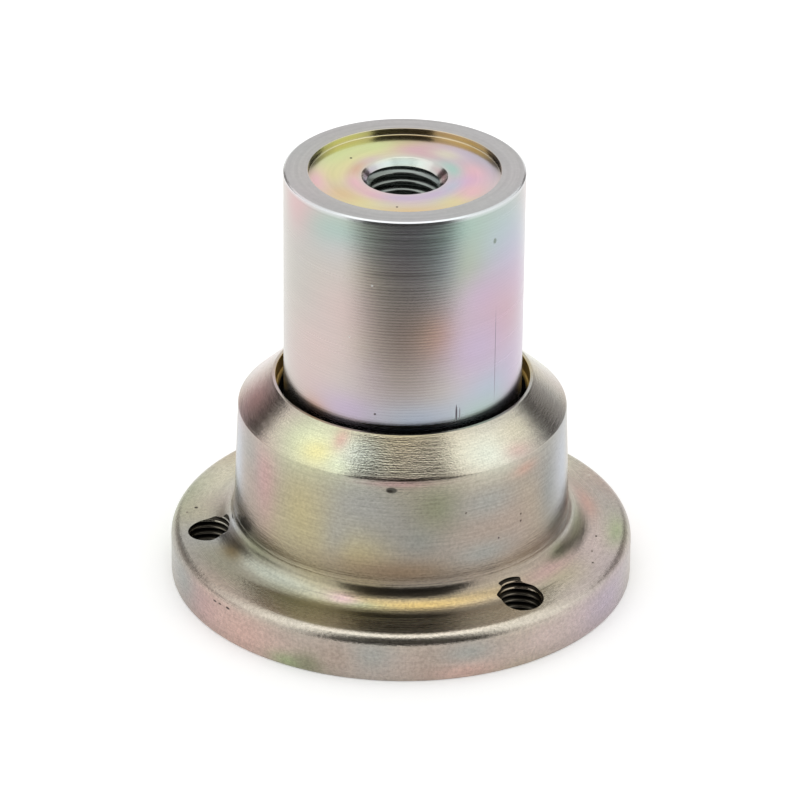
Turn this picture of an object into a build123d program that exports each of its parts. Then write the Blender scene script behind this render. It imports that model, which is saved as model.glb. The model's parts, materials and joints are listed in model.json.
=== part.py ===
from build123d import *
from math import degrees, pi, radians, sin, tan
import os

# Flanged bearing housing of a garden machine: a turned spindle runs in two sealed ball bearings,
# which are pressed from both ends against a land in the housing's bore.
# Millimetres. Z is the spindle's axis, and the flange stands on the plane z = 0.

# Ball bearings
bearing_bore = 25.0
bearing_outside = 52.0
bearing_width = 15.0
ball_diameter = 7.938
ball_count = 9
race_conformity = 1.04  # groove radius over ball radius
ball_clearance = 0.04  # between a ball and the bottom of its groove
ring_shoulder = 1.6  # depth of the groove below its shoulders
ring_chamfer = 0.8
seal_recess_width = 2.0
seal_recess_step = 1.2
seal_thickness = 1.2
seal_lip = 0.4  # thickness of the seal at its inner edge
seal_running_gap = 0.1
cage_sheet = 0.7
cage_play = 0.15  # between a ball and its pocket
cage_ring_gap = 0.8  # between the cage and the rings
rivet_head_height = 0.4
rivet_head_share = 0.6  # rivet head over the web's width
rivet_shank_share = 0.5  # rivet shank over its head
rivet_play = 0.05

# Stack along the axis, from the foot upwards
end_inset = 1.0  # spindle's lower end above the foot
end_land = 1.7  # spindle below the retaining ring's groove
retaining_ring_thickness = 1.2
groove_play = 0.1
land_width = 3.9  # housing's land between the bearings
shoulder_height = 1.6  # spindle's shoulder on the upper bearing
seat_reach = 5.0  # bearing seat above the upper bearing
mouth_depth = 3.0  # wider part of the bore at the rim
nose_reach = 47.4  # spindle's nose above the rim

# Housing
seat_fit = 0.01  # radial, rings and seals in their seats
seat_chamfer = 0.3
foot_chamfer = 1.0  # lead-in of the lower seat
land_step = 3.0
mouth_step = 0.7
rim_width = 0.7
hub_wall = 8.6  # round the seat at the hub's shoulder
hub_cone_height = 6.6  # from the hub's shoulder to the rim
hub_draft_angle = 2.6
hub_root_radius = 5.5
flange_thickness = 10.8
flange_edge_radius = 2.5
flange_foot_break = 0.3
bolt_hole_diameter = 8.5  # tapping drill of M10
bolt_count = 3
bolt_angle = 67.5  # first hole, from the X axis
bolt_inset = 5.1  # from the hub's foot to the bolt circle
bolt_margin = 8.0  # from the bolt circle to the flange's rim

# Spindle
nose_gap = 1.0  # radial, round the nose in the bearing seat
nose_edge_break = 0.25
recess_rim = 5.1  # width of the ring face round the end recess
recess_depth = 1.45
thread_drill_diameter = 14.0  # tapping drill of M16
thread_drill_depth = 38.0
thread_mouth_diameter = 17.9
thread_mouth_angle = 90.0
drill_point_angle = 118.0
shoulder_step = 3.0
journal_chamfer = 1.0
groove_depth = 0.55
centre_hole_diameter = 4.0
centre_hole_mouth = 8.5
centre_hole_depth = 8.0
centre_hole_angle = 60.0

# Spacer sleeve and retaining ring
sleeve_wall = 2.6
sleeve_fit = 0.05
sleeve_chamfer = 0.3
retaining_ring_wide = 3.0  # opposite its gap
retaining_ring_narrow = 1.8  # beside its lugs
retaining_ring_gap = 4.0
lug_radius = 2.0
lug_hole_diameter = 2.0

# Places along the axis
groove_bottom = end_inset + end_land
retaining_ring_bottom = groove_bottom + groove_play
lower_bearing_bottom = retaining_ring_bottom + retaining_ring_thickness
land_bottom = lower_bearing_bottom + bearing_width
land_top = land_bottom + land_width
upper_bearing_top = land_top + bearing_width
nose_bottom = upper_bearing_top + shoulder_height
mouth_bottom = upper_bearing_top + seat_reach
housing_top = mouth_bottom + mouth_depth
hub_shoulder = housing_top - hub_cone_height
nose_top = housing_top + nose_reach
recess_floor = nose_top - recess_depth

# Radii of the housing and the spindle
seat_radius = bearing_outside / 2 + seat_fit
land_radius = bearing_outside / 2 - land_step
mouth_radius = bearing_outside / 2 + mouth_step
rim_radius = mouth_radius + rim_width
hub_radius = bearing_outside / 2 + hub_wall
hub_foot_radius = hub_radius + (hub_shoulder - flange_thickness) * tan(radians(hub_draft_angle))
bolt_circle_radius = hub_foot_radius + bolt_inset
flange_radius = bolt_circle_radius + bolt_margin
nose_radius = bearing_outside / 2 - nose_gap
recess_radius = nose_radius - recess_rim
journal_radius = bearing_bore / 2 - seat_fit
shoulder_radius = bearing_bore / 2 + shoulder_step
groove_radius = journal_radius - groove_depth

# Radii inside a bearing
ball_radius = ball_diameter / 2
pitch_radius = (bearing_bore + bearing_outside) / 4
race_radius = ball_radius * race_conformity
inner_race_bottom = pitch_radius - ball_radius - ball_clearance
outer_race_bottom = pitch_radius + ball_radius + ball_clearance
inner_shoulder_radius = inner_race_bottom + ring_shoulder
outer_shoulder_radius = outer_race_bottom - ring_shoulder
seal_recess_radius = outer_shoulder_radius + seal_recess_step
seal_lip_radius = inner_shoulder_radius + seal_running_gap
cage_inner_radius = inner_shoulder_radius + cage_ring_gap
cage_outer_radius = outer_shoulder_radius - cage_ring_gap
pocket_radius = ball_radius + cage_play
cup_radius = pocket_radius + cage_sheet
web_angle = 180 / ball_count
web_width = 2 * (pitch_radius * sin(pi / ball_count) - cup_radius)
rivet_head_radius = web_width * rivet_head_share / 2
rivet_radius = rivet_head_radius * rivet_shank_share

os.makedirs("parts", exist_ok=True)


def circles_at(piece, height):
    """The circular edges of a turned piece at one height, the smallest first."""
    circles = piece.edges().filter_by(GeomType.CIRCLE)
    return circles.filter_by_position(Axis.Z, height - seat_fit, height + seat_fit).sort_by(SortBy.RADIUS)


# Housing: a turned section with its stepped bore and drafted hub, rounded at the hub's root and the rim
with BuildPart() as housing:
    with BuildSketch(Plane.XZ):
        with BuildLine():
            Polyline(
                (seat_radius, 0),
                (flange_radius, 0),
                (flange_radius, flange_thickness),
                (hub_foot_radius, flange_thickness),
                (hub_radius, hub_shoulder),
                (rim_radius, housing_top),
                (mouth_radius, housing_top),
                (mouth_radius, mouth_bottom),
                (seat_radius, mouth_bottom),
                (seat_radius, land_top),
                (land_radius, land_top),
                (land_radius, land_bottom),
                (seat_radius, land_bottom),
                close=True,
            )
        make_face()
    revolve(axis=Axis.Z)
    fillet(circles_at(housing, flange_thickness)[0], hub_root_radius)
    fillet(circles_at(housing, flange_thickness)[-1], flange_edge_radius)
    chamfer(circles_at(housing, 0)[0], foot_chamfer)
    chamfer(circles_at(housing, 0)[-1], flange_foot_break)
    chamfer(circles_at(housing, mouth_bottom)[0], seat_chamfer)
    # Tapped holes, drilled through the hub's root and the flange
    with BuildSketch():
        with PolarLocations(bolt_circle_radius, bolt_count, bolt_angle):
            Circle(bolt_hole_diameter / 2)
    extrude(amount=hub_shoulder, mode=Mode.SUBTRACT)
housing.part.label = "housing"
export_step(housing.part, "parts/housing.step")


# Spindle: journal of both bearings with a groove near its end, shoulder on the upper bearing, nose
with BuildPart() as spindle:
    with BuildSketch(Plane.XZ):
        with BuildLine():
            Polyline(
                (0, end_inset),
                (journal_radius, end_inset),
                (journal_radius, groove_bottom),
                (groove_radius, groove_bottom),
                (groove_radius, lower_bearing_bottom),
                (journal_radius, lower_bearing_bottom),
                (journal_radius, upper_bearing_top),
                (shoulder_radius, upper_bearing_top),
                (shoulder_radius, nose_bottom),
                (nose_radius, nose_bottom),
                (nose_radius, nose_top),
                (recess_radius, nose_top),
                (recess_radius, recess_floor),
                (0, recess_floor),
                close=True,
            )
        make_face()
    revolve(axis=Axis.Z)
    chamfer(circles_at(spindle, nose_top)[-1], nose_edge_break)
    chamfer(circles_at(spindle, end_inset)[-1], journal_chamfer)
    # Tapped hole in the end of the nose, with its drill point
    with Locations(Plane.XY.offset(recess_floor)):
        CounterSinkHole(
            radius=thread_drill_diameter / 2,
            counter_sink_radius=thread_mouth_diameter / 2,
            depth=thread_drill_depth,
            counter_sink_angle=thread_mouth_angle,
        )
    with Locations(Plane.XY.offset(recess_floor - thread_drill_depth)):
        Cone(
            bottom_radius=0,
            top_radius=thread_drill_diameter / 2,
            height=thread_drill_diameter / 2 / tan(radians(drill_point_angle / 2)),
            align=(Align.CENTER, Align.CENTER, Align.MAX),
            mode=Mode.SUBTRACT,
        )
    # Lathe centre in the lower end
    with Locations(-Plane.XY.offset(end_inset)):
        CounterSinkHole(
            radius=centre_hole_diameter / 2,
            counter_sink_radius=centre_hole_mouth / 2,
            depth=centre_hole_depth,
            counter_sink_angle=centre_hole_angle,
        )
spindle.part.label = "spindle"
export_step(spindle.part, "parts/spindle.step")


# Spacer sleeve between the two inner rings
with BuildPart() as spacer_sleeve:
    with BuildSketch(Plane.XY.offset(land_bottom)):
        Circle(bearing_bore / 2 + sleeve_wall)
        Circle(bearing_bore / 2 + sleeve_fit, mode=Mode.SUBTRACT)
    extrude(amount=land_width)
    chamfer(spacer_sleeve.edges().filter_by(GeomType.CIRCLE), sleeve_chamfer)
spacer_sleeve.part.label = "spacer_sleeve"
export_step(spacer_sleeve.part, "parts/spacer_sleeve.step")


# Retaining ring: its band narrows towards two lugs with plier holes beside the gap
ring_inner_radius = groove_radius + groove_play
ring_outer_radius = ring_inner_radius + (retaining_ring_wide + retaining_ring_narrow) / 2
ring_offset = (retaining_ring_wide - retaining_ring_narrow) / 2
lug_circle_radius = ring_inner_radius + lug_radius
lug_angle = degrees((retaining_ring_gap / 2 + lug_radius) / lug_circle_radius)
with BuildPart() as retaining_ring:
    with BuildSketch(Plane.XY.offset(retaining_ring_bottom)):
        with Locations((-ring_offset, 0)):
            Circle(ring_outer_radius)
        with PolarLocations(lug_circle_radius, 2, -lug_angle, 4 * lug_angle):
            Circle(lug_radius)
        Circle(ring_inner_radius, mode=Mode.SUBTRACT)
        with Locations((lug_circle_radius, 0)):
            Rectangle(4 * lug_radius, retaining_ring_gap, mode=Mode.SUBTRACT)
        with PolarLocations(lug_circle_radius, 2, -lug_angle, 4 * lug_angle):
            Circle(lug_hole_diameter / 2, mode=Mode.SUBTRACT)
    extrude(amount=retaining_ring_thickness)
retaining_ring.part.label = "retaining_ring"
export_step(retaining_ring.part, "parts/retaining_ring.step")


# The two bearings are alike, and each turn of the loop makes one about its middle plane
half_width = bearing_width / 2
seal_seat = half_width - seal_recess_width
for bearing, middle in (("upper", land_top + half_width), ("lower", land_bottom - half_width)):
    # Outer ring with its ball groove and a stepped recess for the seal on each side
    with BuildPart() as outer_ring:
        with BuildSketch(Plane.XZ):
            with BuildLine():
                Polyline(
                    (bearing_outside / 2, middle - half_width),
                    (bearing_outside / 2, middle + half_width),
                    (seal_recess_radius, middle + half_width),
                    (seal_recess_radius, middle + seal_seat),
                    (outer_shoulder_radius, middle + seal_seat),
                    (outer_shoulder_radius, middle - seal_seat),
                    (seal_recess_radius, middle - seal_seat),
                    (seal_recess_radius, middle - half_width),
                    close=True,
                )
            make_face()
            with Locations((outer_race_bottom - race_radius, middle)):
                Circle(race_radius, mode=Mode.SUBTRACT)
        revolve(axis=Axis.Z)
        for face_height in (middle - half_width, middle + half_width):
            chamfer(circles_at(outer_ring, face_height)[-1], ring_chamfer)
    outer_ring.part.label = f"{bearing}_outer_ring"
    export_step(outer_ring.part, f"parts/{bearing}_outer_ring.step")

    # Inner ring with its ball groove
    with BuildPart() as inner_ring:
        with BuildSketch(Plane.XZ):
            with Locations((bearing_bore / 2, middle)):
                Rectangle(
                    inner_shoulder_radius - bearing_bore / 2,
                    bearing_width,
                    align=(Align.MIN, Align.CENTER),
                )
            with Locations((inner_race_bottom + race_radius, middle)):
                Circle(race_radius, mode=Mode.SUBTRACT)
        revolve(axis=Axis.Z)
        for face_height in (middle - half_width, middle + half_width):
            chamfer(circles_at(inner_ring, face_height)[0], ring_chamfer)
    inner_ring.part.label = f"{bearing}_inner_ring"
    export_step(inner_ring.part, f"parts/{bearing}_inner_ring.step")

    # Balls on the pitch circle
    with BuildPart() as balls:
        with Locations((0, 0, middle)):
            with PolarLocations(pitch_radius, ball_count):
                Sphere(ball_radius)
    balls.part.label = f"{bearing}_balls"
    export_step(balls.part, f"parts/{bearing}_balls.step")

    # Rivets through the webs of both cage halves
    with BuildPart() as cage_rivets:
        with Locations((0, 0, middle)):
            with PolarLocations(pitch_radius, ball_count, web_angle):
                Cylinder(rivet_radius, 2 * cage_sheet)
        for side in (1, -1):
            with Locations((0, 0, middle + side * (cage_sheet + rivet_head_height / 2))):
                with PolarLocations(pitch_radius, ball_count, web_angle):
                    Cylinder(rivet_head_radius, rivet_head_height)
    cage_rivets.part.label = f"{bearing}_cage_rivets"
    export_step(cage_rivets.part, f"parts/{bearing}_cage_rivets.step")

    for end, side in (("top", 1), ("bottom", -1)):
        # Pressed cage half: a cup over each ball, cut to a ribbon, with a flat web between the cups
        middle_plane = Plane((0, 0, middle), x_dir=(1, 0, 0), z_dir=(0, 0, side))
        with BuildPart() as cage_half:
            with BuildSketch(middle_plane):
                Circle(cage_outer_radius)
                Circle(cage_inner_radius, mode=Mode.SUBTRACT)
            extrude(amount=cage_sheet)
            with Locations((0, 0, middle)):
                with PolarLocations(pitch_radius, ball_count):
                    Sphere(cup_radius)
            with BuildSketch(middle_plane):
                Circle(cage_outer_radius)
                Circle(cage_inner_radius, mode=Mode.SUBTRACT)
            extrude(amount=cup_radius, mode=Mode.INTERSECT)
            with Locations((0, 0, middle)):
                with PolarLocations(pitch_radius, ball_count):
                    Sphere(pocket_radius, mode=Mode.SUBTRACT)
            with BuildSketch(middle_plane):
                with PolarLocations(pitch_radius, ball_count, web_angle):
                    Circle(rivet_radius + rivet_play)
            extrude(amount=cage_sheet, mode=Mode.SUBTRACT)
        cage_half.part.label = f"{bearing}_cage_{end}"
        export_step(cage_half.part, f"parts/{bearing}_cage_{end}.step")

        # Seal: rests on the outer ring's step, and its lip thins towards the inner ring
        seal_inner_face = middle + side * seal_seat
        seal_outer_face = seal_inner_face + side * seal_thickness
        with BuildPart() as seal:
            with BuildSketch(Plane.XZ):
                with BuildLine():
                    Polyline(
                        (seal_recess_radius - seat_fit, seal_inner_face),
                        (seal_recess_radius - seat_fit, seal_outer_face),
                        (seal_lip_radius + seal_thickness, seal_outer_face),
                        (seal_lip_radius, seal_inner_face + side * seal_lip),
                        (seal_lip_radius, seal_inner_face),
                        close=True,
                    )
                make_face()
            revolve(axis=Axis.Z)
        seal.part.label = f"{bearing}_{end}_seal"
        export_step(seal.part, f"parts/{bearing}_{end}_seal.step")
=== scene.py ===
import bmesh
import bpy
import json
import math
import numpy as np
from mathutils import Matrix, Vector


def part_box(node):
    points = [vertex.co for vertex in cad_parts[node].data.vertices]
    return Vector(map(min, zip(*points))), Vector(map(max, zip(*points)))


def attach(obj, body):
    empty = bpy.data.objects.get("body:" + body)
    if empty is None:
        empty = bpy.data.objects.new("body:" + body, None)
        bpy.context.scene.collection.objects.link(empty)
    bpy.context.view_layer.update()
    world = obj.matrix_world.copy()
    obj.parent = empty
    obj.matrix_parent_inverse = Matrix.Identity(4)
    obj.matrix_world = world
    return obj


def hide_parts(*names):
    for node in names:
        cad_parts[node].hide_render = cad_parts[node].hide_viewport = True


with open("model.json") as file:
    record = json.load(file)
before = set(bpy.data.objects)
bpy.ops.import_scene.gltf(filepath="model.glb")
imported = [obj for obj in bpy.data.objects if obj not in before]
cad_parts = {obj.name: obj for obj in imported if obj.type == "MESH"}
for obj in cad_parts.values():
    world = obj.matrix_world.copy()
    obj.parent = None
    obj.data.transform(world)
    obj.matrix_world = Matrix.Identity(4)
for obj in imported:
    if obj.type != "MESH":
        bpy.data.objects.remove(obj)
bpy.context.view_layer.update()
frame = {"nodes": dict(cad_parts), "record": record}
scene = bpy.context.scene
scene.view_settings.view_transform = "Standard"
mm = 0.001  # the sections below are drawn in millimetres
samePoint = 1e-7  # metres: points this close become one, as on the axis
sliver = 3e-6  # metres: edges and faces this thin are left over from a cut
hardEdge = math.radians(32)  # faces that meet at more than this keep a hard edge
print("frame loaded:", len(frame["nodes"]), "nodes")


def toLinear(hexColour):  # sRGB hex to linear: a straight foot, then a power of 2.4
    srgb = np.array([int(hexColour[i:i + 2], 16) for i in (1, 3, 5)]) / 255
    linear = np.where(srgb <= 0.04045, srgb / 12.92, ((srgb + 0.055) / 1.055) ** 2.4)
    return (*linear.tolist(), 1.0)


def addNode(tree, kind, inputs=None, stops=None, **settings):
    # one shader node: its settings, its inputs (a value or another node's output), a ramp's stops
    # of a MapRange, 1 and 2 are the span it reads and 3 and 4 the span it gives
    # of a Mix, 0 is the share, 2 and 3 are numbers, and 6 and 7 are colours
    node = tree.nodes.new("ShaderNode" + kind)
    for name, value in settings.items():
        setattr(node, name, value)
    for key, value in (inputs or {}).items():
        if isinstance(value, bpy.types.NodeSocket):
            tree.links.new(value, node.inputs[key])
        else:
            node.inputs[key].default_value = value
    for count, (place, hexColour) in enumerate(stops or []):
        ramp = node.color_ramp.elements
        stop = ramp[count] if count < 2 else ramp.new(place)
        stop.position = place
        stop.color = toLinear(hexColour)
    return node


def around(azimuth, radius, height):  # azimuth in degrees from the front, to the right; mm in, mm out
    turn = np.radians(azimuth)
    x, y = radius * np.sin(turn), -radius * np.cos(turn)
    return np.stack(np.broadcast_arrays(x, y, height), axis=-1)


def roundedSection(corners, closed, arcStep=0.35):
    # a section of straight runs between corners, each corner rounded by an arc that touches both runs:
    # touch length = radius / tan(half the corner's angle), arc centre on the corner's bisector
    # a corner is (radius from the axis, height, rounding, surface of the run after it, step along that run)
    place = np.array([corner[:2] for corner in corners], float)
    count = len(corners)
    arcs = []
    for i, here in enumerate(place):
        rounding = corners[i][2]
        if rounding == 0 or (not closed and i in (0, count - 1)):
            arcs.append(here[None])
            continue
        back = place[i - 1] - here
        ahead = place[(i + 1) % count] - here
        back /= np.linalg.norm(back)
        ahead /= np.linalg.norm(ahead)
        half = math.acos(np.clip(back @ ahead, -1, 1)) / 2
        touch = rounding / math.tan(half)
        bisector = (back + ahead) / np.linalg.norm(back + ahead)
        centre = here + bisector * rounding / math.sin(half)
        first = here + back * touch - centre
        last = here + ahead * touch - centre
        sweep = math.pi - 2 * half
        share = np.linspace(0, 1, max(4, int(sweep * rounding / arcStep) + 2))[:, None]
        spokes = np.sin((1 - share) * sweep) * first + np.sin(share * sweep) * last
        arcs.append(centre + spokes / math.sin(sweep))
    points, surfaces = [], []
    for i, corner in enumerate(corners):
        surface, step = corner[3:]
        points.append(arcs[i])
        surfaces += [surface] * len(arcs[i])
        if closed or i < count - 1:
            run = arcs[(i + 1) % count][0] - arcs[i][-1]
            pieces = max(1, math.ceil(np.linalg.norm(run) / step))
            share = np.arange(1, pieces)[:, None] / pieces
            points.append(arcs[i][-1] + run * share)
            surfaces += [surface] * (pieces - 1)
    points = np.concatenate(points)
    return points[:, 0], points[:, 1], np.array(surfaces)


def gridQuads(index):  # quads between the neighbours in a grid of vertex numbers
    corners = index[:-1, :-1], index[:-1, 1:], index[1:, 1:], index[1:, :-1]
    return np.stack(corners, axis=-1).reshape(-1, 4)


def closeUp(mesh):  # makes one point of the many at each pole on the axis, and turns the faces outwards
    work = bmesh.new()
    work.from_mesh(mesh)
    bmesh.ops.remove_doubles(work, verts=work.verts, dist=samePoint)
    bmesh.ops.recalc_face_normals(work, faces=work.faces)
    work.to_mesh(mesh)
    work.free()
    return mesh


def turnedMesh(name, radius, height, surfaces, columns, closed):
    # the section turned about the axis: point (row i, column j) = (r sin a, -r cos a, z),
    # with r and z of the row and a = j full turns / columns
    turn = np.arange(columns) / columns * 360
    points = around(turn, radius[:, None], height[:, None]) * mm
    index = np.arange(len(radius) * columns).reshape(len(radius), columns)
    if closed:
        index = np.vstack([index, index[:1]])
    skins = np.repeat(surfaces[:len(index) - 1], columns).astype(np.int32)
    mesh = bpy.data.meshes.new(name)
    mesh.from_pydata(points.reshape(-1, 3), [], gridQuads(np.hstack([index, index[:, :1]])))
    mesh.polygons.foreach_set("material_index", skins)
    return closeUp(mesh)


def newPiece(name, mesh, materials=()):
    piece = bpy.data.objects.new(name, mesh)
    scene.collection.objects.link(piece)
    for material in materials:
        mesh.materials.append(material)
    return piece


def threadedBar(thread, skin):
    # a closed bar whose rows follow the helix, so that crests and flanks keep clean edges
    # height at column j of a row = pitch x (turn of the row + its share of the pitch - start + j / columns)
    # radius = drilled + (outer - drilled) x depth of the row
    # the last column joins the first one pitch higher, and a fan to a point on the axis closes each end
    edge = 0.5 - thread["groove"] / 2
    root = 0.5 - thread["root"] / 2
    rounding = thread["rounding"]
    flank = np.array([edge / 2, edge, (edge + root) / 2, root])
    share = np.concatenate([[0], flank, 1 - flank[::-1]])
    sink = np.array([rounding / 4, rounding, (rounding + 1) / 2, 1])
    depth = np.concatenate([[0], sink, sink[::-1]])
    first, last = thread["turns"]
    columns = thread["columns"]
    rows = np.append((np.arange(first, last)[:, None] + share).ravel(), last)
    reach = np.append(np.tile(depth, last - first), 0)
    turn = np.arange(columns) / columns
    radius = thread["drilled"] + (thread["outer"] - thread["drilled"]) * reach
    height = thread["pitch"] * (rows[:, None] - thread["start"] + turn)
    points = around(360 * turn, radius[:, None], height).reshape(-1, 3)
    poles = np.array([[0, 0, end] for end in thread["ends"]])
    index = np.arange(len(points)).reshape(len(rows), columns)
    pitchRows = len(share)
    wound = gridQuads(np.hstack([index[:-pitchRows], index[pitchRows:, :1]]))
    lastTurn = gridQuads(index[-pitchRows - 1:])
    faces = wound.tolist() + lastTurn.tolist()
    bottom = np.concatenate([index[0], index[pitchRows:0:-1, 0]])
    top = np.concatenate([index[-1], index[-2:-pitchRows - 2:-1, -1]])
    for pole, loop in enumerate((bottom, top), start=len(points)):
        faces += np.stack([loop, np.roll(loop, -1), np.full(len(loop), pole)], axis=-1).tolist()
    mesh = bpy.data.meshes.new("plug")
    mesh.from_pydata(np.vstack([points, poles]) * mm, [], faces)
    mesh.polygons.foreach_set("material_index", np.full(len(mesh.polygons), skin, np.int32))
    return closeUp(mesh)


def tapHoles(body, thread, axes, hole, crest, mouthCrest):
    # each hole's plug is a closed threaded bar, and takes its own shape out of the body
    plugs = []
    for axis in axes:
        plugMesh = threadedBar(thread, hole)
        plugMesh.transform(Matrix.Translation(axis * mm))
        plugs.append(newPiece("plug", plugMesh, body.data.materials))
        cut = body.modifiers.new("tapped", "BOOLEAN")
        cut.operation = "DIFFERENCE"
        cut.solver = "EXACT"
        cut.object = plugs[-1]
    solid = bpy.data.meshes.new_from_object(body.evaluated_get(bpy.context.evaluated_depsgraph_get()))
    body.modifiers.clear()
    body.data = solid
    # slivers that the cut left are closed up
    work = bmesh.new()
    work.from_mesh(solid)
    bmesh.ops.triangulate(work, faces=[face for face in work.faces if len(face.verts) > 4])
    bmesh.ops.remove_doubles(work, verts=work.verts, dist=sliver)
    bmesh.ops.dissolve_degenerate(work, edges=work.edges, dist=sliver)
    work.to_mesh(solid)
    work.free()
    # the thread's crests have a skin of their own, brighter near the mouth than further down, where the
    # dimmer skin is painted shade
    centres = np.empty(len(solid.polygons) * 3)
    skins = np.empty(len(solid.polygons), np.int32)
    solid.polygons.foreach_get("center", centres)
    solid.polygons.foreach_get("material_index", skins)
    centres = centres.reshape(-1, 3) / mm
    fromAxis = np.hypot(centres[:, None, 0] - axes[:, 0], centres[:, None, 1] - axes[:, 1]).min(1)
    onCrest = (skins == hole) & (fromAxis < thread["drilled"] + thread["crestDepth"])
    skins[onCrest] = np.where(centres[onCrest, 2] > thread["brightAbove"], mouthCrest, crest)
    solid.polygons.foreach_set("material_index", skins)
    for plug in plugs:
        bpy.data.objects.remove(plug)


def softWaves(points, size, seed, count=14):
    # a soft random field: plane waves of about this size in mm, each its own way, added up to about -1..1
    dice = np.random.default_rng(seed)
    waves = dice.normal(size=(count, 3))
    lengths = np.linalg.norm(waves, axis=1, keepdims=True)
    waves *= 2 * np.pi / size * dice.uniform(0.6, 1.5, (count, 1)) / lengths
    return np.sin(points @ waves.T + dice.uniform(0, 2 * np.pi, count)).sum(1) / math.sqrt(count)


def layFilm(mesh, film, contrast=1.6):
    # colour of the chromate film at each vertex: the ground tints blend by soft waves, each with a weight of
    # exp(contrast x wave), then each patch pulls the colour to its own tint by
    # exp(-(way round / reach round)^2 / 2 - (way up or out / reach up)^2 / 2)
    points = np.empty(len(mesh.vertices) * 3)
    mesh.vertices.foreach_get("co", points)
    points = points.reshape(-1, 3) / mm
    tints = {name: np.array(toLinear(hexColour)) for name, hexColour in film["tints"].items()}
    ground = np.stack([tints[name] for name in film["ground"]])
    waves = [softWaves(points, film["size"], film["seed"] + i) for i in range(len(ground))]
    share = np.exp(contrast * np.stack(waves))
    colour = np.einsum("ip,ic->pc", share / share.sum(0), ground)
    radius = np.hypot(points[:, 0], points[:, 1])
    azimuth = np.degrees(np.arctan2(points[:, 0], -points[:, 1]))
    # some patches are painted light, not the film's own colour: painted highlights and painted shade
    for at, out, height, roundReach, upReach, name in film["patches"]:
        way = np.radians(np.mod(azimuth - at + 180, 360) - 180) * out
        up = np.hypot(radius - out, points[:, 2] - height)
        weight = np.exp(-(way / roundReach) ** 2 / 2 - (up / upReach) ** 2 / 2)[:, None]
        colour += weight * (tints[name] - colour)
    layer = mesh.attributes.new("film", "FLOAT_COLOR", "POINT")
    layer.data.foreach_set("color", colour.astype(np.float32).ravel())


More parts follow.
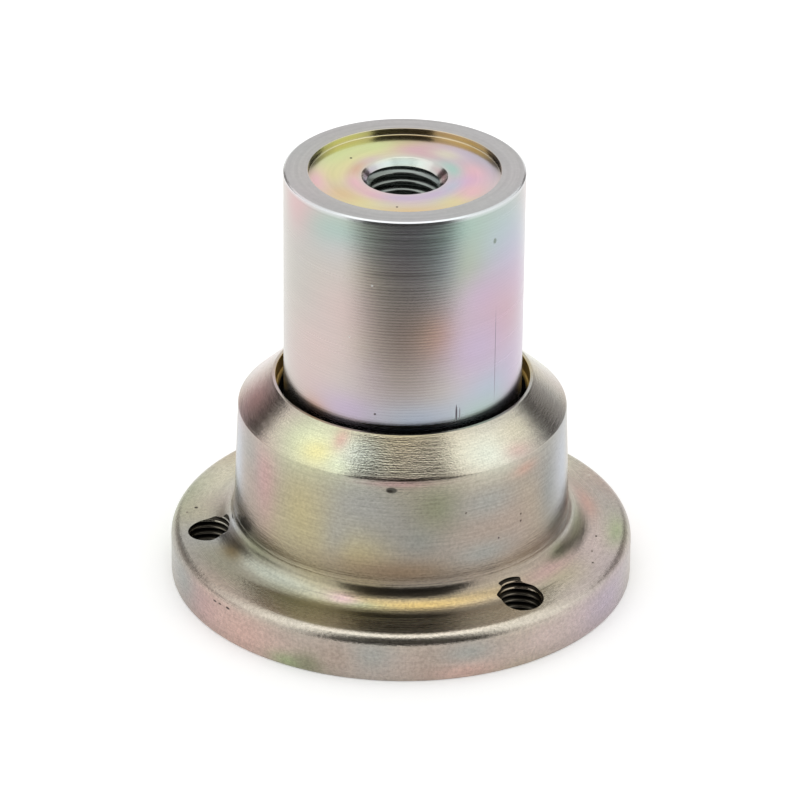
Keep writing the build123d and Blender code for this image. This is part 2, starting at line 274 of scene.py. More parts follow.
def chromatedZinc(name, look):
    # zinc plate under a yellow chromate film on turned steel: a soft metal gloss, pastel bands of colour
    # where the film's thickness changes, and the lathe's marks running round the axis; sizes and depths in mm
    look = {
        "film": 1.0, "own": "#b8b4ac", "tone": 1.0, "grainSize": 0.5, "grainDepth": 0.0,
        "streakPitch": 0.6, "streakLength": 14, "streakDepth": 0.0, "meanRadius": 32,
        "ripplePitch": 0.67, "rippleDepth": 0.0, "rippleShade": 0.0, "waver": 5.0,
        "shade": 0.0, "speckle": 0.0, "lightSide": 0.4, "roughSpread": 0.03, "brush": 0.0,
        "marks": (), "markCore": 0.6, "markRoughness": 0.55, **look,
    }
    material = bpy.data.materials.new(name)
    material.use_nodes = True
    tree = material.node_tree
    shader = tree.nodes["Principled BSDF"]
    shader.inputs["Metallic"].default_value = 1.0
    place = addNode(tree, "TexCoord").outputs["Object"]
    x, y, z = addNode(tree, "SeparateXYZ", {0: place}).outputs
    flat = addNode(tree, "CombineXYZ", {0: x, 1: y}).outputs[0]
    radius = addNode(tree, "VectorMath", {0: flat}, operation="LENGTH").outputs["Value"]
    facing = addNode(tree, "VectorMath", {0: flat}, operation="NORMALIZE").outputs[0]
    # streaks: long round the axis, short across it, from direction x mean radius / length, height / pitch
    # and radius / pitch; real turning marks are too fine to show, so pitches and depths are drawn coarser
    alongScale = look["meanRadius"] / look["streakLength"]
    acrossScale = 1 / (look["streakPitch"] * mm)
    wound = addNode(tree, "VectorMath", {0: facing, "Scale": alongScale}, operation="SCALE").outputs[0]
    rise = addNode(tree, "Math", {0: z, 1: acrossScale}, operation="MULTIPLY").outputs[0]
    lift = addNode(tree, "CombineXYZ", {2: rise}).outputs[0]
    path = addNode(tree, "VectorMath", {0: wound, 1: lift}, operation="ADD").outputs[0]
    out = addNode(tree, "Math", {0: radius, 1: acrossScale}, operation="MULTIPLY").outputs[0]
    streak = addNode(tree, "TexNoise", {"Vector": path, "W": out, "Scale": 0.5, "Detail": 2.0,
                                        "Roughness": 0.6}, noise_dimensions="4D").outputs["Fac"]
    # grain of the metal's skin, and the even ripple of the tool's feed, which the streaks make waver
    grainScale = 0.5 / (look["grainSize"] * mm)
    grain = addNode(tree, "TexNoise", {"Vector": place, "Scale": grainScale, "Detail": 3.0,
                                       "Roughness": 0.65}).outputs["Fac"]
    feedScale = 2 * math.pi / (look["ripplePitch"] * mm)
    feed = addNode(tree, "Math", {0: z, 1: feedScale}, operation="MULTIPLY").outputs[0]
    waver = addNode(tree, "Math", {0: streak, 1: look["waver"], 2: feed}, operation="MULTIPLY_ADD").outputs[0]
    ripple = addNode(tree, "Math", {0: waver}, operation="SINE").outputs[0]
    # colour: the film over the metal, then light and dark from the streaks, the grain and the feed marks
    film = addNode(tree, "Attribute", attribute_name="film").outputs["Color"]
    own = toLinear(look["own"])
    colour = addNode(tree, "Mix", {0: look["film"], 6: own, 7: film}, data_type="RGBA").outputs[2]
    low, high = 0.35, 0.65  # most of a noise lies between these
    dark = look["tone"] * (1 - look["shade"])
    light = look["tone"] * (1 + look["lightSide"] * look["shade"])
    shade = addNode(tree, "MapRange", {"Value": streak, 1: low, 2: high, 3: dark, 4: light}).outputs[0]
    dark = 1 - look["speckle"]
    light = 1 + look["lightSide"] * look["speckle"]
    speckle = addNode(tree, "MapRange", {"Value": grain, 1: low, 2: high, 3: dark, 4: light}).outputs[0]
    shade = addNode(tree, "Math", {0: shade, 1: speckle}, operation="MULTIPLY").outputs[0]
    dark = 1 - look["rippleShade"]
    lines = addNode(tree, "MapRange", {"Value": ripple, 1: -1.0, 2: 1.0, 3: dark, 4: 1.0}).outputs[0]
    shade = addNode(tree, "Math", {0: shade, 1: lines}, operation="MULTIPLY").outputs[0]
    colour = addNode(tree, "Mix", {0: 1.0, 6: colour, 7: shade}, data_type="RGBA",
                     blend_type="MULTIPLY").outputs[2]
    smooth = look["roughness"] - look["roughSpread"]
    dull = look["roughness"] + look["roughSpread"]
    rough = addNode(tree, "MapRange", {"Value": streak, 1: 0.3, 2: 0.7, 3: smooth, 4: dull}).outputs[0]
    # pits, scratches and spots: an ellipsoid round each place, with its own colour and duller inside
    # a mark is (degrees from the front, radius, height, width, length up, colour)
    for azimuth, reach, height, width, length, hexColour in look["marks"]:
        where = around(azimuth, reach, height) * mm
        halves = (2 / width / mm, 2 / width / mm, 2 / length / mm)
        offset = addNode(tree, "VectorMath", {0: place, 1: tuple(where)}, operation="SUBTRACT").outputs[0]
        sized = addNode(tree, "VectorMath", {0: offset, 1: halves}, operation="MULTIPLY").outputs[0]
        away = addNode(tree, "VectorMath", {0: sized}, operation="LENGTH").outputs["Value"]
        mask = addNode(tree, "MapRange", {"Value": away, 1: 1.0, 2: look["markCore"], 3: 0.0, 4: 1.0},
                       interpolation_type="SMOOTHSTEP").outputs[0]
        tint = toLinear(hexColour)
        colour = addNode(tree, "Mix", {0: mask, 6: colour, 7: tint}, data_type="RGBA").outputs[2]
        rough = addNode(tree, "Mix", {0: mask, 2: rough, 3: look["markRoughness"]}).outputs[0]
    tree.links.new(colour, shader.inputs["Base Color"])
    tree.links.new(rough, shader.inputs["Roughness"])
    # relief in metres: streaks, grain, and the ripple
    relief = addNode(tree, "Math", {0: streak, 1: look["streakDepth"] * mm}, operation="MULTIPLY").outputs[0]
    for pattern, depth in ((grain, look["grainDepth"]), (ripple, look["rippleDepth"])):
        relief = addNode(tree, "Math", {0: pattern, 1: depth * mm, 2: relief},
                         operation="MULTIPLY_ADD").outputs[0]
    bump = addNode(tree, "Bump", {"Strength": 1.0, "Distance": 1.0, "Height": relief}).outputs[0]
    tree.links.new(bump, shader.inputs["Normal"])
    if look["brush"]:
        shader.inputs["Anisotropic"].default_value = look["brush"]
        # a quarter turn, so that highlights stretch across the lathe's marks
        shader.inputs["Anisotropic Rotation"].default_value = 0.25
        tangent = addNode(tree, "Tangent", direction_type="RADIAL", axis="Z").outputs[0]
        tree.links.new(tangent, shader.inputs["Tangent"])
    return material


# tints that a yellow chromate film shows as it thickens, pale on bright zinc, and two more for painted light:
# white for a painted highlight, and the darkest for painted shade
filmTints = {
    "silver": "#c8c4bd", "cream": "#d6cfbb", "straw": "#dcd49c", "olive": "#b9ad86", "gold": "#dcc077",
    "salmon": "#d2ad90", "pink": "#d0abb0", "lilac": "#c6b5cb", "ice": "#b9c1cf", "mint": "#b5c9c2",
    "teal": "#a6c6bc", "green": "#a9b68c", "pear": "#d0d99a", "blush": "#d4c2be", "white": "#eef1f4",
    "taupe": "#b3a49b", "rose": "#e2b7bb", "orchid": "#d9a9cc", "honey": "#dabf93", "slate": "#aaadbb",
    "aqua": "#d2e6dc", "recessShade": "#3a3428",
}

# spindle: stepped steel bar, its nose stands out of the housing and is tapped in the end
spindleLow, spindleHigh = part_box("spindle")
spindle = {
    "columns": 252,
    "nose": spindleHigh.x / mm, "top": spindleHigh.z / mm, "end": spindleLow.z / mm, "endBreak": 1.0,
    "noseBottom": 39.5, "edge": 0.25, "edgeWidth": 0.425, "recess": 19.9, "recessDepth": 1.45,
    "shoulder": 15.5, "shoulderBottom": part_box("upper_inner_ring")[1].z / mm,
    "journal": 12.49, "groove": 11.94, "grooveTop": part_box("retaining_ring")[1].z / mm, "grooveBottom": 2.7,
    "centreHole": 2.0, "centreMouth": 4.25, "centreDepth": 8.0, "centreAngle": 30,
    "mouth": 8.95, "mouthBottom": 6.0,
    # groove and root are shares of the pitch, rounding is a share of the depth
    "thread": {"pitch": 2.0, "drilled": 7.0, "outer": 8.05, "start": 0.0, "groove": 0.76, "root": 0.14,
               "rounding": 0.12, "turns": (27, 47), "ends": (49.6, 97), "columns": 192,
               "crestDepth": 0.14, "brightAbove": 100},
}
spindleFilm = {"tints": filmTints, "size": 24, "seed": 11,
               "ground": ("silver", "blush", "silver", "lilac", "cream", "mint"), "patches": (
    # nose: degrees from the front, radius, height, reach round, reach up, tint
    (-78, 25, 75, 8, 25, "silver"), (-57, 25, 90, 5, 4, "rose"), (-32, 25, 88, 7, 4, "teal"),
    (-28, 25, 82, 5, 4, "ice"), (-19, 25, 79, 5, 5, "cream"), (-42, 25, 77, 8, 7, "silver"),
    (-27, 25, 71, 6, 6, "blush"), (-45, 25, 61, 7, 6, "blush"), (-50, 25, 53, 7, 5, "blush"),
    (-44, 25, 47, 3, 2, "salmon"), (-25, 25, 49, 6, 3, "lilac"), (0, 25, 66, 6, 9, "taupe"),
    (18, 25, 67, 3.5, 4, "salmon"), (30, 25, 89, 7, 5, "teal"), (26, 25, 83, 4, 4, "ice"),
    (38, 25, 81, 5, 6, "green"), (53, 25, 86, 6, 5, "mint"), (62, 25, 80, 7, 7, "ice"),
    (68, 25, 72, 6, 6, "lilac"), (42, 25, 73, 6, 5, "lilac"), (52, 25, 65, 7, 6, "pink"),
    (38, 25, 62, 6, 6, "lilac"), (60, 25, 53, 8, 7, "lilac"), (45, 25, 51, 5, 4, "ice"),
    # white along the top edge of the nose at the front is a painted highlight
    (36, 25, 47, 6, 2.5, "mint"), (8, 25, 48, 7, 3, "ice"), (0, 24.9, 93.2, 70, 0.3, "white"),
    # floor of the end recess, its wall, and the mouth of the thread
    (-92, 15, 91.85, 5, 4, "straw"), (-115, 13, 91.85, 5, 4, "straw"), (-146, 14, 91.85, 4, 4, "straw"),
    (-178, 15.5, 91.85, 5, 3, "honey"), (178, 17.5, 91.85, 5, 1.6, "olive"),
    (150, 13, 91.85, 4, 3, "pink"), (128, 15, 91.85, 4, 3, "lilac"), (106, 17.3, 91.85, 5, 2.4, "slate"),
    (96, 14, 91.85, 4, 2.6, "rose"), (71, 12.5, 91.85, 3.5, 2.6, "orchid"),
    (60, 11, 91.85, 3, 1.5, "ice"), (42, 16, 91.85, 4, 2, "straw"), (62, 15.8, 91.85, 3, 2, "rose"),
    (8, 12, 91.85, 3, 2, "blush"), (2, 17, 91.85, 7, 1.8, "honey"), (-38, 15.5, 91.85, 4, 3, "straw"),
    (-55, 15.5, 91.85, 3.5, 2.4, "honey"), (-82, 18.5, 91.85, 4, 1.6, "rose"),
    (-128, 17, 91.85, 5, 2.2, "pear"), (-155, 15.5, 91.85, 4, 2.6, "pear"),
    (165, 12.6, 91.85, 3.5, 1.6, "pink"), (140, 13.5, 91.85, 2.5, 1.5, "cream"),
    (-130, 10.2, 91.85, 3, 1.1, "blush"), (-105, 10.2, 91.85, 3, 1.1, "salmon"),
    (-70, 10.7, 91.85, 3, 1.3, "rose"), (-35, 11, 91.85, 3.5, 1.4, "rose"),
    (2, 10.6, 91.85, 4, 1.2, "lilac"), (34, 10.5, 91.85, 3, 1.2, "lilac"),
    (109, 10.3, 91.85, 3, 1.3, "teal"), (180, 19.9, 92.7, 70, 0.4, "silver"),
    (-135, 19.9, 92.6, 8, 0.6, "straw"), (135, 19.9, 92.6, 9, 0.6, "gold"),
    # painted shade: the recess wall darkened at its two ends, left and right
    (-104, 19.9, 92.5, 3.5, 0.7, "recessShade"), (106, 19.9, 92.5, 3, 0.7, "recessShade"),
    (180, 8.1, 91, 9, 0.9, "aqua"), (90, 8.1, 91, 5, 0.7, "pink"), (-90, 8.1, 91, 5, 0.7, "lilac"),
)}

spindleSkins = [
    # nose: finely turned, so the tool's feed shows as even rings under the film's pastel bands
    chromatedZinc("chromatedZincNose", {
        "roughness": 0.25, "brush": 0.5, "streakDepth": 0.004, "streakPitch": 0.6, "streakLength": 30,
        "ripplePitch": 0.67, "rippleDepth": 0.0016, "rippleShade": 0.05, "shade": 0.03, "tone": 0.94,
        "marks": (
            (47.7, 25, 85.4, 1.2, 1.5, "#98a39d"), (-14.8, 25, 78.6, 0.6, 0.6, "#f4f2ee"),
            (-13, 25, 49.2, 0.6, 0.6, "#8d878a"), (-26, 25, 66, 0.4, 0.5, "#e9e6e2"),
            (49.4, 25, 59.5, 0.25, 25, "#9c93a0"), (26.4, 25, 48.6, 0.5, 4.4, "#77727a"),
            (28.2, 25, 48.4, 0.3, 3.2, "#a29ea6"),
        )}),
    # ring face: faced on the lathe until the film was nearly gone, so it is grey with turned rings
    chromatedZinc("turnedRingFace", {
        "film": 0.12, "own": "#b4b2b2", "roughness": 0.36, "brush": 0.3, "streakDepth": 0.006,
        "streakPitch": 0.4, "streakLength": 20, "shade": 0.1, "speckle": 0.05}),
    # recess and thread's mouth: smooth, so the film's colours are clear and the walls mirror in the floor
    chromatedZinc("chromatedZincRecess", {
        "roughness": 0.18, "streakDepth": 0.0008, "streakPitch": 0.6, "shade": 0.04,
        "marks": ((-126.3, 13.85, 91.85, 0.7, 0.7, "#1c1a16"), (-5.8, 14.87, 91.85, 0.6, 0.9, "#1c1a16"))}),
    # thread: cut by a tap, with thin plating that reads as dark steel
    chromatedZinc("tappedThread", {
        "film": 0.2, "own": "#6f7c7c", "roughness": 0.25, "streakDepth": 0.002, "streakPitch": 0.4}),
    # bearing seats: ground, with a fine bright lay round the axis
    chromatedZinc("groundJournal", {
        "film": 0.15, "own": "#b4b3b0", "roughness": 0.2, "brush": 0.5, "streakDepth": 0.001,
        "streakPitch": 0.4, "streakLength": 30}),
]


def makeSpindle(s):
    # half the section from the lathe centre round to the bottom of the thread's mouth, turned, then tapped
    floor = s["top"] - s["recessDepth"]
    mouthEnd = floor - (s["mouth"] - s["mouthBottom"])
    coneTop = s["end"] + (s["centreMouth"] - s["centreHole"]) / math.tan(math.radians(s["centreAngle"]))
    nose, ring, recess, thread, journal = range(len(spindleSkins))
    corners = [
        (0, s["end"] + s["centreDepth"], 0, journal, 4),
        (s["centreHole"], s["end"] + s["centreDepth"], 0, journal, 4),
        (s["centreHole"], coneTop, 0, journal, 4),
        (s["centreMouth"], s["end"], 0.1, journal, 2),
        (s["journal"] - s["endBreak"], s["end"], 0.1, journal, 2),
        (s["journal"], s["end"] + s["endBreak"], 0.1, journal, 2),
        (s["journal"], s["grooveBottom"], 0, journal, 2),
        (s["groove"], s["grooveBottom"], 0, journal, 2),
        (s["groove"], s["grooveTop"], 0, journal, 2),
        (s["journal"], s["grooveTop"], 0, journal, 8),
        (s["journal"], s["shoulderBottom"], 0, journal, 2),
        (s["shoulder"], s["shoulderBottom"], 0, journal, 2),
        (s["shoulder"], s["noseBottom"], 0.2, journal, 3),
        (s["nose"], s["noseBottom"], 0.3, nose, 0.9),
        (s["nose"], s["top"] - s["edge"], 0.1, nose, 1),
        (s["nose"] - s["edgeWidth"], s["top"], 0.08, ring, 0.8),
        (s["recess"], s["top"], 0.12, recess, 0.5),
        (s["recess"], floor, 0.25, recess, 0.8),
        (s["mouth"], floor, 0.1, recess, 0.2),
        (s["mouthBottom"], mouthEnd, 0, thread, 3),
        (0, mouthEnd, 0, thread, 3),
    ]
    radius, height, surfaces = roundedSection(corners, closed=False)
    mesh = turnedMesh("spindleTurned", radius, height, surfaces, s["columns"], closed=False)
    body = newPiece("spindleTurned", mesh, spindleSkins)
    tapHoles(body, s["thread"], np.zeros((1, 3)), thread, thread, thread)
    return body


spindlePiece = makeSpindle(spindle)
layFilm(spindlePiece.data, spindleFilm)
spindlePiece.data.shade_smooth()
spindlePiece.data.set_sharp_from_angle(angle=hardEdge)
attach(spindlePiece, "spindle")
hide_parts("spindle")
print("spindle:", len(spindlePiece.data.polygons), "faces")

# the same film is duller on the housing's coarser skin
housingTints = {
    "cream": "#d6cfb8", "straw": "#d8d29c", "olive": "#bdb28c", "brown": "#8f7a56", "gold": "#d0b474",
    "salmon": "#c6a192", "pink": "#c4a19f", "lilac": "#b8aab6", "ice": "#b4b9c2", "mint": "#b2c0b6",
    "green": "#a5b08a", "grey": "#a7a6a0", "taupe": "#b0a094", "moss": "#8e8f76", "steel": "#979791",
    "blush": "#cbb9b2", "lime": "#d2d8b6", "frost": "#dbe0d1", "bone": "#dfd8c8", "fawn": "#beaea4",
    "umber": "#94806a", "rose": "#dab0b4", "peach": "#cfb0a5",
}

# housing: forged steel, turned on the cone and face, with three tapped holes in its flange
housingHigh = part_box("housing")[1]
housing = {
    "columns": 432,
    "flange": housingHigh.x / mm, "top": housingHigh.z / mm, "rimTop": 10.3, "edge": 2.5, "footBreak": 0.3,
    "hubTop": 34.6, "hubShoulder": 39.3, "rim": 27.4,
    "rootLow": (38.87, 11.02, 8.0), "rootHigh": (35.75, 13.92, 3.3),  # radius, height, rounding
    "step": (35.68, 15.45), "stepWidth": 0.12, "stepRise": 0.08,  # fine crease at the hub's foot
    "mouth": 26.7, "mouthBottom": 42.9, "seat": 26.01, "seatBreak": 0.3, "footBreakSeat": 1.0, "land": 23.0,
    "upperSeat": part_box("upper_outer_ring")[0].z / mm, "lowerSeat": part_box("lower_outer_ring")[1].z / mm,
    "boltCircle": 40.994, "holes": (157.5, 277.5, 37.5),
    "thread": {"pitch": 1.5, "drilled": 4.25, "outer": 5.0, "start": 0.5, "groove": 0.68, "root": 0.12,
               "rounding": 0.2, "turns": (-1, 12), "ends": (-3, 20), "columns": 120,
               "crestDepth": 0.14, "brightAbove": 10.2},
}
housingFilm = {"tints": housingTints, "size": 26, "seed": 5,
               "ground": ("grey", "taupe", "grey", "olive"), "patches": (
    # hub wall: degrees from the front, radius, height, reach round, reach up, tint; the steel and umber down
    # the front middle are partly the film's own tone, partly a painted dark reflection
    (0, 35, 29, 9, 6, "steel"), (34, 35, 28, 12, 9, "taupe"), (-79, 34.9, 28, 3, 14, "ice"),
    (-54, 34.8, 33, 3, 9, "pink"), (-36, 35, 28, 5, 9, "olive"), (-26, 35.2, 25, 4, 8, "olive"),
    (-13, 34.9, 33, 5, 4, "grey"), (-21, 35.2, 24, 3, 6, "grey"), (-14, 35.5, 20, 4, 4, "olive"),
    (2, 34.6, 38.6, 7, 0.6, "pink"), (6, 35.2, 25, 3, 3, "steel"), (13, 34.9, 33, 4, 4, "moss"),
    (0, 35.4, 18, 13, 2.6, "umber"), (31, 34.9, 32, 5, 3, "grey"), (40, 35.2, 22, 6, 4, "taupe"),
    (47, 34.65, 36.6, 2.5, 1, "salmon"), (62, 34.9, 29, 3, 6, "steel"), (74, 34.9, 30, 4, 10, "ice"),
    (29, 35.3, 20.5, 5, 2, "grey"),
    # root and flange top; the gold across the front and the frost and rose along the root are partly the
    # film's own colour, partly a painted highlight on the root's bright band
    (4, 38.2, 11.6, 15, 1.3, "gold"), (-15, 38.6, 11.4, 4, 0.8, "green"),
    (-19, 38.0, 12.1, 2.5, 0.9, "rose"), (-45, 38.0, 12.1, 10, 1.4, "frost"),
    (-66, 39, 11.3, 3, 2, "brown"), (-58, 36.2, 14.5, 6, 1.6, "moss"), (57, 38.8, 11.6, 6, 1.4, "rose"),
    (64, 36.8, 12.8, 3, 1.4, "moss"), (82, 37.8, 12.2, 6, 1.2, "green"),
    (100, 40.3, 10.8, 6, 1.6, "salmon"), (56, 43, 10.7, 7, 3, "olive"), (78, 43.5, 10.7, 8, 4, "blush"),
    (85, 46, 10.5, 5, 1.6, "green"), (-62, 44, 10.6, 8, 3, "moss"), (-36, 43.5, 10.6, 8, 4, "moss"),
    (-10, 42, 10.8, 7, 2, "moss"), (4, 45, 10.6, 16, 2.5, "cream"), (38, 45, 10.6, 9, 3, "cream"),
    # flange side and its rounded edge
    (0, 49, 4, 60, 4, "fawn"), (-60, 49, 5, 8, 4, "pink"), (-70, 49, 6, 6, 4, "steel"),
    (-88, 49, 5, 9, 4, "grey"), (-42, 49, 4, 7, 4, "peach"), (-28, 49, 1.2, 3, 1.3, "green"),
    (-22, 49, 2, 3, 2, "moss"), (-7, 49, 6, 4, 3, "grey"), (8, 49, 4, 4, 4, "taupe"),
    (17, 49, 6, 4, 2, "grey"), (16, 49, 1.5, 5, 1.3, "peach"), (38, 49, 5, 4, 2.5, "blush"),
    (-16, 49, 4.5, 3, 3, "taupe"), (50, 49, 5, 5, 4, "blush"), (63, 49, 5, 8, 5, "lilac"),
    # bone along the front of the rounded edge is a painted highlight
    (0, 48, 9.6, 34, 0.7, "bone"),
    # the side behind, in the same manner
    (118, 35, 27, 6, 8, "pink"), (146, 35, 30, 7, 7, "olive"), (172, 35, 24, 6, 8, "ice"),
    (196, 35, 31, 7, 6, "blush"), (221, 35, 25, 6, 8, "olive"), (247, 35, 29, 6, 8, "mint"),
    (128, 31, 42.5, 6, 4, "lime"), (160, 31, 42.5, 5, 4, "pink"), (188, 31, 42.5, 6, 4, "cream"),
    (216, 31, 42.5, 5, 4, "lime"), (244, 31, 42.5, 6, 4, "blush"), (135, 43, 10.7, 8, 4, "cream"),
    (178, 43, 10.7, 8, 4, "green"), (210, 43, 10.7, 8, 4, "rose"), (245, 43, 10.7, 8, 4, "cream"),
    (112, 49, 5, 7, 4, "salmon"), (140, 49, 4, 7, 4, "green"), (168, 49, 6, 8, 4, "pink"),
    (200, 49, 5, 7, 4, "grey"), (228, 49, 4, 8, 4, "blush"), (256, 49, 6, 8, 4, "green"),
    # cone
    (-80, 31, 42.5, 6, 4, "pink"), (-54, 31, 42.5, 3, 4, "blush"), (-38, 31, 42.5, 7, 4, "lime"),
    (-33, 32, 41.5, 3, 2, "straw"), (-25, 29.3, 44.2, 1.2, 1.6, "salmon"),
    (-23, 33.3, 40.6, 2, 1.4, "lime"), (-16, 31, 42.5, 3, 3, "frost"), (24, 31, 42.5, 6, 4, "cream"),
    (36, 32, 41.5, 5, 3, "frost"), (47, 33, 40.7, 2.5, 1.4, "pink"), (52, 30.5, 43, 5, 3, "cream"),
    (76, 31, 42.5, 6, 4, "grey"),
)}

housingSkins = [
    # hub: a forged wall that the lathe only skimmed, with short torn marks in a speckled gloss
    chromatedZinc("chromatedZincHub", {
        "roughness": 0.22, "streakDepth": 0.026, "streakPitch": 0.17, "streakLength": 3, "tone": 0.96,
        "grainSize": 0.3, "grainDepth": 0.03, "shade": 0.1, "speckle": 0.14, "rippleShade": 0.05,
        "ripplePitch": 0.9,
        "marks": (
            (-3.4, 34.66, 37.0, 2.8, 1.6, "#6a675f"), (-3.9, 34.66, 36.8, 1.5, 0.8, "#4a4741"),
            (44.9, 35.2, 26.4, 0.6, 0.6, "#6e6358"), (44.8, 35.2, 24.8, 0.7, 0.7, "#7d7068"),
            (22.4, 35, 30.6, 0.5, 0.5, "#6e665c"), (35, 35.3, 22.9, 0.5, 0.6, "#75696a"),
        )}),
    # cone: turned, bright, its finer marks glint one by one
    chromatedZinc("chromatedZincCone", {
        "roughness": 0.13, "streakDepth": 0.034, "streakPitch": 0.13, "streakLength": 1.8, "tone": 1.09,
        "grainSize": 0.18, "grainDepth": 0.034, "shade": 0.1, "speckle": 0.14}),
    # flange: shot-cleaned forging skin, a coarser satin grain with a few pits and knocks
    chromatedZinc("chromatedZincFlange", {
        "roughness": 0.27, "streakDepth": 0.006, "streakPitch": 0.3, "streakLength": 6, "tone": 0.98,
        "grainSize": 0.34, "grainDepth": 0.07, "shade": 0.05, "speckle": 0.18,
        "marks": (
            (81.1, 41.8, 10.8, 0.8, 0.8, "#3a342a"), (66.5, 44, 10.8, 0.7, 0.7, "#4a443a"),
            (-95.7, 44.1, 10.7, 1.0, 0.9, "#4a443a"), (-93.2, 45.8, 10.6, 0.7, 0.7, "#857b70"),
            (72.3, 42.3, 10.8, 0.6, 0.6, "#6a6052"), (117.1, 45.6, 10.6, 0.7, 0.7, "#d6cfc2"),
            (-52, 49, 7.8, 1.4, 0.5, "#5a4f4c"), (-50, 49, 7.9, 1.2, 0.5, "#6b5f5a"),
            (-47, 49, 8.0, 1.5, 0.6, "#544a47"),
        )}),
    # the bore's own colour is near black, painted shade for the deep gap round the spindle; at the two sides
    # of the mouth, where the wall is lit, the gold of its plating shows
    chromatedZinc("boreInPaintedShade", {
        "film": 0.0, "own": "#2c261a", "roughness": 0.25, "streakDepth": 0.004, "streakPitch": 0.5,
        "streakLength": 20, "shade": 0.1,
        "marks": ((100, 26.7, 45, 22, 7, "#c9ad69"), (-100, 26.7, 45, 22, 7, "#c9ad69"))}),
    # tapped holes: near black in the grooves and dull on the crests below the mouth, painted shade down the
    # hole
    chromatedZinc("tappedHole", {
        "film": 0.05, "own": "#24211b", "roughness": 0.4, "streakDepth": 0.003, "streakPitch": 0.4,
        "shade": 0.1}),
    chromatedZinc("deepCrestShade", {
        "film": 0.2, "own": "#6f695d", "roughness": 0.35, "streakDepth": 0.003, "streakPitch": 0.4,
        "shade": 0.1}),
]


def makeHousing(h):
    # the whole section, round from the foot over flange, root, hub and cone and back down the bore, turned,
    # then tapped
    hub, cone, flange, bore, hole, crest = range(len(housingSkins))
    stepOut, stepTop = h["step"]
    corners = [
        (h["seat"] + h["footBreakSeat"], 0, 0.1, flange, 1.5),
        (h["flange"] - h["footBreak"], 0, 0.1, flange, 1),
        (h["flange"], h["footBreak"], 0.1, flange, 1),
        (h["flange"], h["rimTop"], h["edge"], flange, 0.9),
        (*h["rootLow"], hub, 0.9),
        (*h["rootHigh"], hub, 0.5),
        (stepOut, stepTop, 0.04, hub, 0.1),
        (stepOut - h["stepWidth"], stepTop + h["stepRise"], 0.04, hub, 0.9),
        (h["hubTop"], h["hubShoulder"], 0.3, cone, 0.6),
        (h["rim"], h["top"], 0.12, cone, 0.4),
        (h["mouth"], h["top"], 0.1, bore, 1),
        (h["mouth"], h["mouthBottom"], 0.1, bore, 1),
        (h["seat"] + h["seatBreak"], h["mouthBottom"], 0, bore, 1),
        (h["seat"], h["mouthBottom"] - h["seatBreak"], 0, bore, 6),
        (h["seat"], h["upperSeat"], 0, bore, 2),
        (h["land"], h["upperSeat"], 0, bore, 2),
        (h["land"], h["lowerSeat"], 0, bore, 2),
        (h["seat"], h["lowerSeat"], 0, bore, 6),
        (h["seat"], h["footBreakSeat"], 0, bore, 1),
    ]
    radius, height, surfaces = roundedSection(corners, closed=True)
    mesh = turnedMesh("housingTurned", radius, height, surfaces, h["columns"], closed=True)
    body = newPiece("housingTurned", mesh, housingSkins)
    axes = around(np.array(h["holes"]), h["boltCircle"], 0.0)
    tapHoles(body, h["thread"], axes, hole, crest, hub)
    return body


housingPiece = makeHousing(housing)
layFilm(housingPiece.data, housingFilm)
housingPiece.data.shade_smooth()
housingPiece.data.set_sharp_from_angle(angle=hardEdge)
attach(housingPiece, "housing")
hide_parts("housing")
print("housing:", len(housingPiece.data.polygons), "faces")


def plainSkin(name, look):
    # the inner pieces' materials: a fine grain in colour and roughness, and lay lines round the axis
    # where the piece was ground; sizes and depths are in mm
    look = {"grain": 0.3, "depth": 0.0005, "ring": 0.0, "ringDepth": 0.001, "metallic": 1.0,
            "roughSpread": 0.2, **look}
    material = bpy.data.materials.new(name)
    material.use_nodes = True
    tree = material.node_tree
    shader = tree.nodes["Principled BSDF"]
    shader.inputs["Metallic"].default_value = look["metallic"]
    place = addNode(tree, "TexCoord").outputs["Object"]
    grainScale = 0.5 / (look["grain"] * mm)
    grain = addNode(tree, "TexNoise", {"Vector": place, "Scale": grainScale, "Detail": 3.0}).outputs["Fac"]
    low, high = 0.3, 0.7  # nearly all of the noise lies between these
    stops = ((low, look["dark"]), (high, look["light"]))
    colour = addNode(tree, "ValToRGB", {0: grain}, stops=stops).outputs[0]
    smooth = look["roughness"] * (1 - look["roughSpread"])
    dull = look["roughness"] * (1 + look["roughSpread"])
    rough = addNode(tree, "MapRange", {"Value": grain, 1: low, 2: high, 3: smooth, 4: dull}).outputs[0]
    relief = addNode(tree, "Math", {0: grain, 1: look["depth"] * mm}, operation="MULTIPLY").outputs[0]
    if look["ring"]:
        x, y, z = addNode(tree, "SeparateXYZ", {0: place}).outputs
        flat = addNode(tree, "CombineXYZ", {0: x, 1: y}).outputs[0]
        radius = addNode(tree, "VectorMath", {0: flat}, operation="LENGTH").outputs["Value"]
        both = addNode(tree, "Math", {0: radius, 1: z}, operation="ADD").outputs[0]
        line = addNode(tree, "TexNoise", {"W": both, "Scale": 1 / (look["ring"] * mm), "Detail": 2.0},
                       noise_dimensions="1D").outputs["Fac"]
        relief = addNode(tree, "Math", {0: line, 1: look["ringDepth"] * mm, 2: relief},
                         operation="MULTIPLY_ADD").outputs[0]
    bump = addNode(tree, "Bump", {"Strength": 1.0, "Distance": 1.0, "Height": relief}).outputs[0]
    tree.links.new(colour, shader.inputs["Base Color"])
    tree.links.new(rough, shader.inputs["Roughness"])
    tree.links.new(bump, shader.inputs["Normal"])
    return material


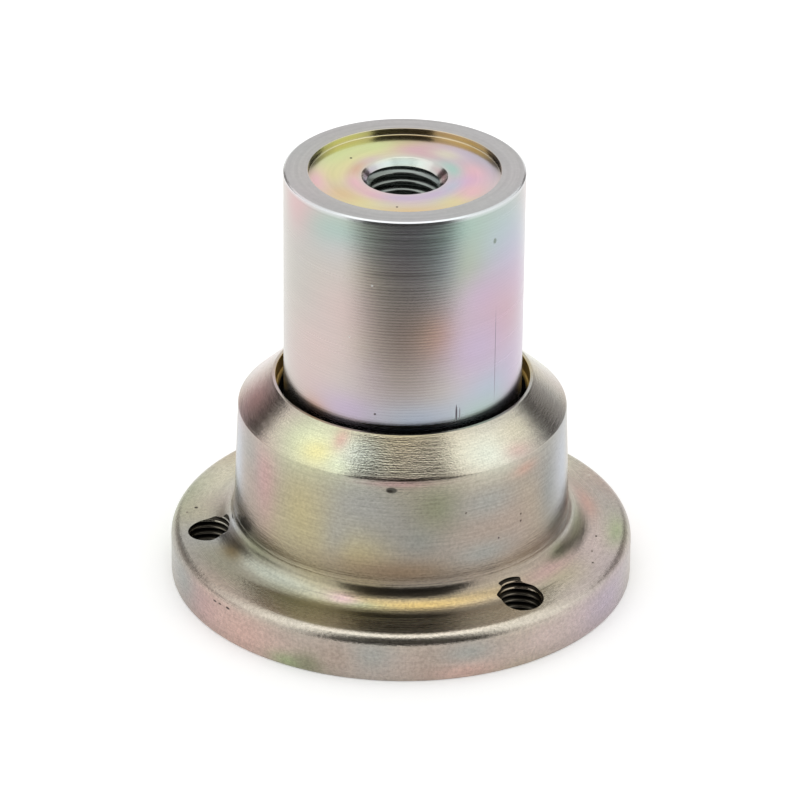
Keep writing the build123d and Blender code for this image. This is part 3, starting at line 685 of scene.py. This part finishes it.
innerSkins = {
    # through-hardened bearing steel, ground: fine rings round the axis under a thin oil gloss
    "bearing_steel": plainSkin("groundBearingSteel", {
        "dark": "#a9a9aa", "light": "#bcbcbb", "roughness": 0.2, "ring": 0.35}),
    # lapped balls: a near mirror
    "ball_steel": plainSkin("lappedBallSteel", {
        "dark": "#c4c4c4", "light": "#cdcdcc", "roughness": 0.06, "depth": 0.0}),
    # cold-rolled strip, pressed into pockets: satin with faint rolling grain
    "cage_steel": plainSkin("pressedStripSteel", {
        "dark": "#97979a", "light": "#a8a8a8", "roughness": 0.32, "depth": 0.002, "grain": 0.6}),
    # phosphated spring steel: near black, dull crystals
    "spring_steel": plainSkin("phosphatedSpringSteel", {
        "dark": "#232325", "light": "#3a3a3c", "roughness": 0.5, "metallic": 0.6, "depth": 0.004}),
    # moulded nitrile rubber: matt black, a fine moulded texture
    "seal_rubber": plainSkin("mouldedNitrile", {
        "dark": "#17171a", "light": "#232326", "roughness": 0.55, "metallic": 0.0, "depth": 0.006,
        "grain": 0.4}),
}
for part in frame["record"]["subparts"]:
    node = frame["nodes"][part["node"]]
    if part["material_slot"] in innerSkins:
        node.data.materials.clear()
        node.data.materials.append(innerSkins[part["material_slot"]])
print("inner pieces dressed")

# studio: white table, white surround and soft lamps; dark cards that only reflections see flag the metal,
# as a photographer does; sizes and places are in mm
studio = {
    "tableColour": "#f8f8f7", "tableHalf": 3000, "tableRoughness": 0.9, "tableGloss": 0.1, "tableLift": 0.2,
    "surround": 0.88,
    "tableEdge": (230, -148, 0.03), "pastEdge": -1500, "edgeLift": 0.5, "edgeColour": "#2b2825",
    "cardColumns": 25,
    "cards": (  # name, distance, azimuth from and to, height from and to, colour
        ("cardInFront", 210, -36, 42, 0, 300, "#2b2825"),
        ("cardOverFront", 210, -50, 44, 300, 445, "#3a3733"),
        ("cardBackRight", 500, 116, 153, 185, 310, "#544e4b"),
        ("cardLowRight", 500, 116, 153, 60, 185, "#c2bcb9"),
        ("cardBackLeft", 500, 207, 245, 185, 325, "#463e3b"),
        ("cardLowLeft", 500, 207, 245, 60, 185, "#bdb5b2"),
        ("cardLeft", 500, 248, 276, 115, 180, "#5a5651"),
    ),
    "lampAim": (0, 0, 45),
    "lamps": (  # name, place, size across, watts
        ("keyLamp", (-700, -300, 900), 900, 0.5),
        ("fillLamp", (800, -250, 700), 900, 0.35),
        ("topLamp", (0, 100, 1100), 1000, 1.4),
    ),
}


def studioSheet(name, points, visible):
    # one sheet of the studio: a grid of points, rows x columns x 3 in mm; one that isn't visible only mirrors
    rows, columns = points.shape[:2]
    mesh = bpy.data.meshes.new(name)
    index = np.arange(rows * columns).reshape(rows, columns)
    mesh.from_pydata(points.reshape(-1, 3) * mm, [], gridQuads(index))
    sheet = newPiece(name, mesh)
    sheet.visible_camera = sheet.visible_diffuse = sheet.visible_shadow = visible
    return sheet


def seenRays(tree):
    # 1 for rays from the camera, a reflection or a view through something clear, 0 for light on the part
    rays = addNode(tree, "LightPath").outputs
    seen = rays["Is Camera Ray"]
    for kind in ("Is Glossy Ray", "Is Transmission Ray"):
        seen = addNode(tree, "Math", {0: seen, 1: rays[kind]}, operation="MAXIMUM").outputs[0]
    return seen


def makeStudio(s):
    half = s["tableHalf"]
    x, y = np.meshgrid([-half, half], [-half, half])
    table = studioSheet("tableTop", np.stack([x, y, 0 * x], -1).astype(float), True)
    white = bpy.data.materials.new("whiteTable")
    white.use_nodes = True
    tree = white.node_tree
    shader = tree.nodes["Principled BSDF"]
    shader.inputs["Base Color"].default_value = toLinear(s["tableColour"])
    shader.inputs["Roughness"].default_value = s["tableRoughness"]
    shader.inputs["Specular IOR Level"].default_value = s["tableGloss"]
    lift = addNode(tree, "Math", {0: seenRays(tree), 1: s["tableLift"]}, operation="MULTIPLY").outputs[0]
    shader.inputs["Emission Color"].default_value = (1, 1, 1, 1)
    tree.links.new(lift, shader.inputs["Emission Strength"])
    table.data.materials.append(white)
    # surround: white where it is seen, a little less as light on the part
    world = bpy.data.worlds.new("whiteSurround")
    scene.world = world
    world.use_nodes = True
    tree = world.node_tree
    level = addNode(tree, "MapRange", {"Value": seenRays(tree), 3: s["surround"], 4: 1.0}).outputs[0]
    tree.nodes["Background"].inputs["Color"].default_value = (1, 1, 1, 1)
    tree.links.new(level, tree.nodes["Background"].inputs["Strength"])
    # the dark past the table's front edge, which runs a little askew, and the cards, curved round the part
    reach, front, slant = s["tableEdge"]
    x, y = np.meshgrid([-reach, reach], [s["pastEdge"], front])
    edge = np.stack([x, y + slant * x, 0 * x + s["edgeLift"]], -1).astype(float)
    cards = [(studioSheet("cardPastTableEdge", edge, False), s["edgeColour"])]
    for name, distance, first, last, low, high, hexColour in s["cards"]:
        azimuth, height = np.meshgrid(np.linspace(first, last, s["cardColumns"]), [low, high])
        cards.append((studioSheet(name, around(azimuth, distance, height), False), hexColour))
    for card, hexColour in cards:
        flock = bpy.data.materials.new("flock" + card.name)
        flock.use_nodes = True
        shader = flock.node_tree.nodes["Principled BSDF"]
        shader.inputs["Base Color"].default_value = toLinear(hexColour)
        shader.inputs["Roughness"].default_value = 1.0
        card.data.materials.append(flock)
    # lamps: round soft boxes, each turned to face the part
    for name, where, size, power in s["lamps"]:
        lamp = bpy.data.lights.new(name, "AREA")
        lamp.shape = "DISK"
        lamp.size = size * mm
        lamp.energy = power
        holder = bpy.data.objects.new(name, lamp)
        scene.collection.objects.link(holder)
        place = np.array(where) * mm
        away = place - np.array(s["lampAim"]) * mm
        away /= np.linalg.norm(away)
        side = np.cross([0, 1, 0.01], away)
        side /= np.linalg.norm(side)
        turned = np.eye(4)
        turned[:3] = np.stack([side, np.cross(away, side), away, place], axis=1)
        holder.matrix_world = Matrix(turned.tolist())


makeStudio(studio)
print("studio lit")

# camera: where the photograph was taken from, found from the ellipses of its circles
view = {"place": (0, -945.533, 543.682), "down": 28.065, "turn": 0.031, "roll": 0.569, "lens": 229.108,
        "sensor": 36, "nearest": 10}
cameraData = bpy.data.cameras.new("camera")
cameraData.lens = view["lens"]
cameraData.sensor_width = view["sensor"]
cameraData.clip_start = view["nearest"] * mm
camera = bpy.data.objects.new("camera", cameraData)
scene.collection.objects.link(camera)
camera.matrix_world = (
    Matrix.Translation(np.array(view["place"]) * mm)
    @ Matrix.Rotation(math.radians(view["turn"]), 4, "Z")
    @ Matrix.Rotation(math.radians(90 - view["down"]), 4, "X")
    @ Matrix.Rotation(math.radians(view["roll"]), 4, "Z")
)
scene.camera = camera
print("camera set")
